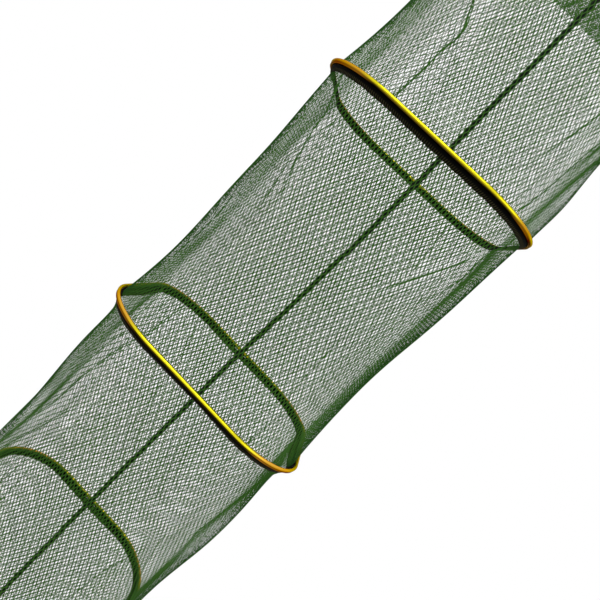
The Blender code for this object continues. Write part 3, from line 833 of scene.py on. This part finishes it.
nylon = Finish("moulded black nylon", Specular_IOR_Level=0.4)
nylon_tint = nylon.ramp(
    nylon.noise(0.010, detail=4.0),
    (0.3, (0.012, 0.012, 0.013)),
    (0.7, (0.028, 0.028, 0.030)),
)
nylon.join(nylon_tint, "Base Color")
nylon.join(nylon.between(nylon.noise(0.004, detail=3.0), low=0.42, high=0.62), "Roughness")
nylon.bumped(nylon.noise(0.0005, detail=3.0, rough=0.7), distance=0.00010)
for name in ("head_block", "head_clamp"):
    rounds = bmesh.new()
    rounds.from_mesh(bpy.data.objects[name].data)
    rounds.transform(bpy.data.objects[name].matrix_world)
    bmesh.ops.remove_doubles(rounds, verts=rounds.verts, dist=MOULD_MERGE)
    moulding = bpy.data.meshes.new(f"moulded_{name}")
    rounds.to_mesh(moulding)
    rounds.free()
    moulding.materials.clear()
    moulding.materials.append(nylon.material)
    moulding.shade_smooth()
    moulding.set_sharp_from_angle(angle=math.radians(MOULD_EDGE))
    half = bpy.data.objects.new(f"moulded_{name}", moulding)
    bpy.context.scene.collection.objects.link(half)
    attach(half, "mouth")
    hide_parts(name)

# Stud. Turned in brass, with the bank stick thread below a wide shoulder that seats on the stick,
# and a plain spigot above the shoulder that sits in the head's boss.
STUD_RADIUS = 0.00476
STUD_LENGTH = 0.0135
STUD_SIDES = 48
STUD_TIP_RADIUS = 0.0024
CHAMFER = 0.0009
CHAMFER_HEIGHT = 0.0012
THREAD_PITCH = 0.00127
THREAD_DEPTH = 0.00072
THREAD_TOP = -0.0012
THREAD_STEPS = 131
GROOVE_STEEPNESS = 1.25
CREST_WIDTH = 0.12
RELIEF_FOOT = -0.0022
RELIEF_SHARE = 0.86
NECK_RADIUS = 0.0040
SHOULDER_RADIUS = 0.0085
SHOULDER_FACE = 0.0082
SHOULDER_TOP = 0.0027
SPIGOT_RADIUS = 0.0050
SPIGOT_TOP = 0.0150
# The tiny ring that closes a turned end, and the bluntest edge that still shows as a line.
TURNED_MIDDLE = 0.00001
TURNED_EDGE = 35

brass = Finish("turned brass", Metallic=1.0)
brass_tint = brass.ramp(
    brass.noise(0.003, detail=4.0),
    (0.3, (0.52, 0.33, 0.10)),
    (0.6, (0.74, 0.52, 0.20)),
    (0.8, (0.80, 0.60, 0.27)),
)
brass.join(brass_tint, "Base Color")
brass.join(brass.between(brass.noise(0.0012, detail=3.0), low=0.20, high=0.42), "Roughness")
brass.bumped(brass.noise(0.0003, stretch=(0.05, 0.05, 1.0)), distance=0.00002)

stud_turns = np.arange(STUD_SIDES) / STUD_SIDES
thread_levels = np.linspace(-STUD_LENGTH, THREAD_TOP, THREAD_STEPS)
rise = (thread_levels[:, None] / THREAD_PITCH - stud_turns[None, :]) % 1.0
groove = np.clip(np.abs(rise - 0.5) * 2 * GROOVE_STEEPNESS - CREST_WIDTH, 0, 1)
run_in = np.clip((thread_levels + STUD_LENGTH) / CHAMFER_HEIGHT, 0, 1) * CHAMFER
chamfered = (STUD_RADIUS - CHAMFER + run_in)[:, None]
relief = np.where(thread_levels[:, None] > RELIEF_FOOT, RELIEF_SHARE, 1.0)
thread_radius = np.minimum(STUD_RADIUS - THREAD_DEPTH * groove, chamfered) * relief
# What is turned plain below the thread and above it, as (radius, height).
below_thread = [(TURNED_MIDDLE, -STUD_LENGTH), (STUD_TIP_RADIUS, -STUD_LENGTH)]
above_thread = [
    (NECK_RADIUS, -0.0010),
    (NECK_RADIUS, -0.0002),
    (0.0044, 0.0),
    (SHOULDER_FACE, 0.0),
    (SHOULDER_RADIUS, 0.0003),
    (SHOULDER_RADIUS, SHOULDER_TOP - 0.0003),
    (SHOULDER_FACE, SHOULDER_TOP),
    (SPIGOT_RADIUS + 0.0001, SHOULDER_TOP),
    (SPIGOT_RADIUS, SHOULDER_TOP + 0.0002),
    (SPIGOT_RADIUS, SPIGOT_TOP - 0.0002),
    (TURNED_MIDDLE, SPIGOT_TOP),
]
radii_below, levels_below = np.array(below_thread).T
radii_above, levels_above = np.array(above_thread).T
plain = np.ones(STUD_SIDES)
radii = np.concatenate([radii_below[:, None] * plain, thread_radius, radii_above[:, None] * plain])
levels = np.concatenate([levels_below, thread_levels, levels_above])
angle = stud_turns * 2 * math.pi
points = np.stack([radii * np.cos(angle), radii * np.sin(angle), levels[:, None] + 0 * radii], -1)
stud_faces = grid_faces(len(levels), STUD_SIDES, close_rows=False)
stud = solid_piece("threaded_stud", points, stud_faces, brass.material, "mouth")
stud.data.set_sharp_from_angle(angle=math.radians(TURNED_EDGE))
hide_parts("head_stud")

# Clamp screws. Two stainless steel screws with domed heads and a hexagonal socket, seated on the
# outer half beside the boss, which draw the inner half against the hoop.
SCREW_RADIUS = 0.0020
SCREW_HEAD_RADIUS = 0.0038
SCREW_HEAD_HEIGHT = 0.0024
SCREW_SPREAD = 0.0130
SCREW_HEIGHT = 0.0205
SCREW_SIDES = 24
SCREW_EDGE = 0.0002
SOCKET_HALF = 0.00125
SOCKET_CHAMFER = 1.12
SOCKET_DEPTH = 0.0013
SOCKET_POINT = 0.0016
# How far each screw is turned home, in radians.
SCREW_TURNS = {"left": 0.3, "right": 0.9}

steel = Finish("stainless steel", Metallic=1.0)
steel_tint = steel.ramp(
    steel.noise(0.002, detail=3.0),
    (0.3, (0.50, 0.50, 0.49)),
    (0.7, (0.68, 0.67, 0.65)),
)
steel.join(steel_tint, "Base Color")
steel.join(steel.between(steel.noise(0.0008, detail=3.0), low=0.22, high=0.40), "Roughness")
steel.bumped(steel.noise(0.0002, stretch=(1.0, 0.05, 1.0)), distance=0.00001)

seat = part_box("head_screw_left")[0][1] + SCREW_HEAD_HEIGHT
inner_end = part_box("head_screw_left")[1][1]
dome = seat - SCREW_HEAD_HEIGHT
# The rings from the inner end, over the head and into the socket: a round radius or a share of
# the hexagon, and the depth.
screw_rings = [
    (TURNED_MIDDLE, 0.0, inner_end),
    (SCREW_RADIUS * 0.9, 0.0, inner_end),
    (SCREW_RADIUS, 0.0, inner_end - SCREW_EDGE),
    (SCREW_RADIUS, 0.0, seat),
    (SCREW_HEAD_RADIUS - SCREW_EDGE, 0.0, seat),
    (SCREW_HEAD_RADIUS, 0.0, seat - SCREW_EDGE),
    (SCREW_HEAD_RADIUS, 0.0, seat - SCREW_HEAD_HEIGHT * 0.55),
    (SCREW_HEAD_RADIUS * 0.93, 0.0, seat - SCREW_HEAD_HEIGHT * 0.80),
    (SCREW_HEAD_RADIUS * 0.72, 0.0, seat - SCREW_HEAD_HEIGHT * 0.99),
    (0.0, SOCKET_CHAMFER, dome),
    (0.0, 1.0, dome + 0.0001),
    (0.0, 1.0, dome + SOCKET_DEPTH),
    (TURNED_MIDDLE, 0.0, dome + SOCKET_POINT),
]
sides = np.arange(SCREW_SIDES) / SCREW_SIDES * 2 * math.pi
hexagon = SOCKET_HALF / np.cos((sides + math.pi / 6) % (math.pi / 3) - math.pi / 6)
round_radii, hexagon_shares, depths = np.array(screw_rings).T[:, :, None]
radii = round_radii + hexagon_shares * hexagon
screw_faces = grid_faces(len(screw_rings), SCREW_SIDES, close_rows=False)
for side, place in (("left", -SCREW_SPREAD), ("right", SCREW_SPREAD)):
    angle = sides + SCREW_TURNS[side]
    x = place + radii * np.cos(angle)
    z = SCREW_HEIGHT + radii * np.sin(angle)
    points = np.stack([x, depths + 0 * radii, z], -1)
    screw = solid_piece(f"clamp_screw_{side}", points, screw_faces, steel.material, "mouth")
    screw.data.set_sharp_from_angle(angle=math.radians(TURNED_EDGE))
    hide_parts(f"head_screw_{side}")

# Studio. A pale floor below the net that fades to white, a white surround that lights the net
# more from above than from below, and two soft lamps.
FLOOR_LEVEL = -2.16
FLOOR_HALF = 1.5
FLOOR_FULL = 0.45
FLOOR_GONE = 0.74
# The surround's strength at its low and its high end, and how high up those are.
LIGHT_LOW_AT = -0.35
LIGHT_HIGH_AT = 0.45
LIGHT_BELOW = 0.22
LIGHT_ABOVE = 0.95

floor_corners = [
    (side_x * FLOOR_HALF, side_y * FLOOR_HALF + NET_AXIS_Y, FLOOR_LEVEL)
    for side_x, side_y in ((-1, -1), (1, -1), (1, 1), (-1, 1))
]
floor_mesh = bpy.data.meshes.new("studio floor")
floor_mesh.from_pydata(floor_corners, [], [(0, 1, 2, 3)])
floor = bpy.data.objects.new("studio floor", floor_mesh)
bpy.context.scene.collection.objects.link(floor)
pale = Finish("pale studio floor", Roughness=0.9, Specular_IOR_Level=0.1)
pale_tint = pale.ramp(pale.noise(0.4), (0.3, (0.84, 0.84, 0.83)), (0.7, (0.87, 0.87, 0.86)))
pale.join(pale_tint, "Base Color")
under_net = (0, NET_AXIS_Y, FLOOR_LEVEL)
away = pale.node("VectorMath", {"operation": "DISTANCE"}, i0=pale.place(), i1=under_net)
fading = pale.between(away.outputs["Value"], low=1.0, high=0.0, start=FLOOR_FULL, end=FLOOR_GONE)
pale.join(fading, "Alpha")
floor_mesh.materials.append(pale.material)

world = bpy.data.worlds.new("white surround")
bpy.context.scene.world = world
world.use_nodes = True
nodes, links = world.node_tree.nodes, world.node_tree.links
surround = nodes["Background"]
surround.inputs["Color"].default_value = (1.0, 1.0, 1.0, 1.0)
where = nodes.new("ShaderNodeTexCoord")
split = nodes.new("ShaderNodeSeparateXYZ")
links.new(where.outputs["Generated"], split.inputs[0])
from_above = nodes.new("ShaderNodeMapRange")
from_above.interpolation_type = "SMOOTHSTEP"
links.new(split.outputs["Z"], from_above.inputs[0])
for socket, value in enumerate((LIGHT_LOW_AT, LIGHT_HIGH_AT, LIGHT_BELOW, LIGHT_ABOVE), 1):
    from_above.inputs[socket].default_value = value
# The camera sees the surround plain white, and so do metal and what shows through glass.
rays = nodes.new("ShaderNodeLightPath")
strength = nodes.new("ShaderNodeMix")
seen = nodes.new("ShaderNodeMath")
mirrored = nodes.new("ShaderNodeMath")
links.new(rays.outputs["Is Camera Ray"], seen.inputs[0])
links.new(rays.outputs["Is Glossy Ray"], seen.inputs[1])
links.new(seen.outputs[0], mirrored.inputs[0])
links.new(rays.outputs["Is Transmission Ray"], mirrored.inputs[1])
links.new(mirrored.outputs[0], strength.inputs[0])
links.new(from_above.outputs[0], strength.inputs[2])
strength.inputs[3].default_value = 1.0
links.new(strength.outputs[0], surround.inputs["Strength"])


def soft_lamp(name, place, aim, size, power):
    """A square softbox, aimed from its place at a point."""
    lamp = bpy.data.lights.new(name, "AREA")
    lamp.shape = "SQUARE"
    lamp.size = size
    lamp.energy = power
    held = bpy.data.objects.new(name, lamp)
    held.location = place
    held.rotation_euler = (Vector(aim) - Vector(place)).to_track_quat("-Z", "Y").to_euler()
    bpy.context.scene.collection.objects.link(held)


soft_lamp("key softbox", place=(-0.6, -1.9, 1.3), aim=(0, 0.2, -0.8), size=1.4, power=40)
soft_lamp("fill softbox", place=(1.6, -1.2, -0.4), aim=(0, 0.2, -1.0), size=1.6, power=8)

# Camera. It stands where the photograph was taken from: close, level with the second bay, and
# rolled so that the net runs from corner to corner. Its distances go by half a hoop's width.
AXIS_DISTANCE = 4.9478 * HOOP_HALF
CAMERA_RISE = MOUTH_HEIGHT - HOOP_PITCH - 0.8792 * HOOP_HALF
TUBE_TURN = -0.0405
CAMERA_YAW = -0.0143
CAMERA_PITCH = -0.1296
CAMERA_ROLL = -0.7861
SENSOR_WIDTH = 36.0
FOCAL_PIXELS = 581.17
PHOTO_PIXELS = 600

view = bpy.data.cameras.new("photo camera")
view.sensor_width = SENSOR_WIDTH
view.lens = SENSOR_WIDTH * FOCAL_PIXELS / PHOTO_PIXELS
camera = bpy.data.objects.new("photo camera", view)
bpy.context.scene.collection.objects.link(camera)
bpy.context.scene.camera = camera
turned = Matrix.Rotation(-TUBE_TURN, 3, "Z")
aim = turned @ Matrix.Rotation(CAMERA_YAW, 3, "Z")
aim = aim @ Matrix.Rotation(CAMERA_PITCH, 3, "X") @ Matrix.Rotation(CAMERA_ROLL, 3, "Y")
right, forward, up = (aim.col[k].copy() for k in range(3))
pose = Matrix((right, up, -forward)).transposed().to_4x4()
pose.translation = Vector((0, NET_AXIS_Y, CAMERA_RISE)) + turned @ Vector((0, -AXIS_DISTANCE, 0))
camera.matrix_world = pose

scene = bpy.context.scene
scene.view_settings.view_transform = "Standard"
